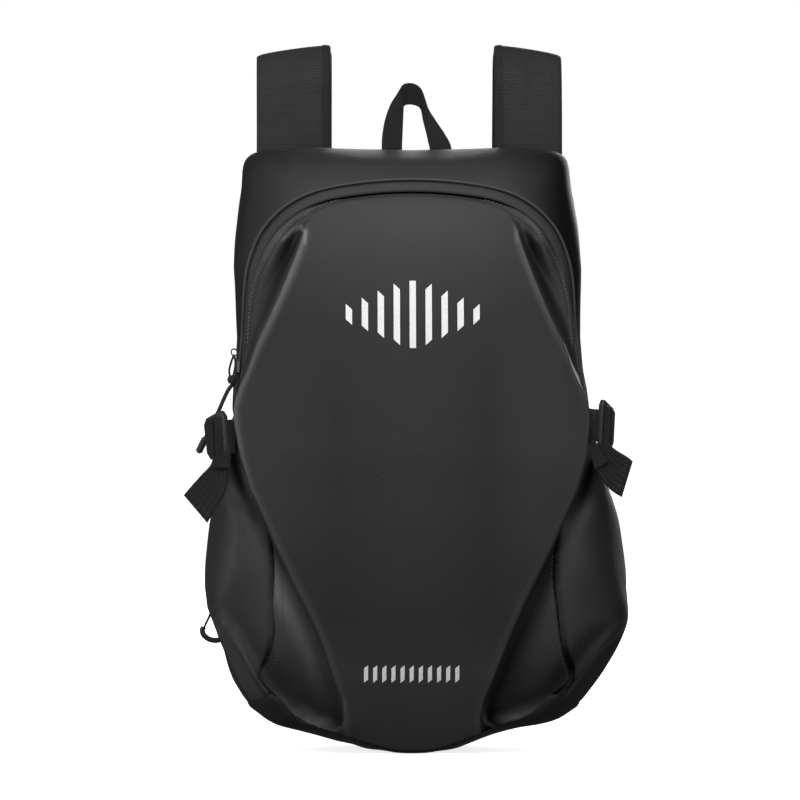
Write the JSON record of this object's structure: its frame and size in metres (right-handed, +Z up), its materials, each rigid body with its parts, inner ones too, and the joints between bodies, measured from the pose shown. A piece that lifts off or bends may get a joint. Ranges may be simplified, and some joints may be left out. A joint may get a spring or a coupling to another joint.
{
  "type": "motorcycle backpack",
  "caption": "Slim rigid-fronted backpack with a raised lozenge front, arched zip, padded shoulder straps, side compression straps and a grab handle.",
  "frame": {"origin": "middle of the base, on the surface it stands on", "axes": "+Z up; -Y is the front; +X is to the right as seen from the front"},
  "size_m": [0.3542, 0.2548, 0.5668],
  "materials": {
    "coated_fabric": "matt coated fabric with a fine grain, over moulded foam on the front",
    "strap_fabric": "ribbed woven fabric over foam",
    "mesh_fabric": "open spacer mesh over foam",
    "webbing": "ribbed woven webbing",
    "zip_tape": "woven zip tape with a reversed coil",
    "black_plastic": "moulded, finely ribbed",
    "black_metal": "black painted zip slider",
    "cord": "braided cord",
    "black_rubber": "moulded grip, matt"
  },
  "bodies": {
    "root": {"front_shell": "coated_fabric", "zip_tape": "zip_tape", "yoke": "coated_fabric", "yoke_piping": "coated_fabric", "side_lobe_left": "coated_fabric", "side_lobe_right": "coated_fabric", "base_panel": "coated_fabric", "back_panel": "mesh_fabric", "back_pad_left": "mesh_fabric", "back_pad_right": "mesh_fabric", "shoulder_strap_left": "strap_fabric", "shoulder_strap_right": "strap_fabric", "strap_adjuster_left": "black_plastic", "strap_adjuster_right": "black_plastic", "lower_web_left": "webbing", "lower_web_right": "webbing", "corner_tab_left": "webbing", "corner_tab_right": "webbing", "grab_handle": "webbing", "buckle_left": "black_plastic", "buckle_right": "black_plastic", "front_web_left": "webbing", "front_web_right": "webbing", "rear_web_left": "webbing", "rear_web_right": "webbing", "web_tail_left": "webbing", "web_tail_right": "webbing", "zip_slider": "black_metal", "pull_cord": "cord", "pull_tip": "black_rubber", "pocket_cord_left": "cord", "pocket_cord_right": "cord", "pocket_grip_left": "black_rubber", "pocket_grip_right": "black_rubber"}
  },
  "joints": []
}
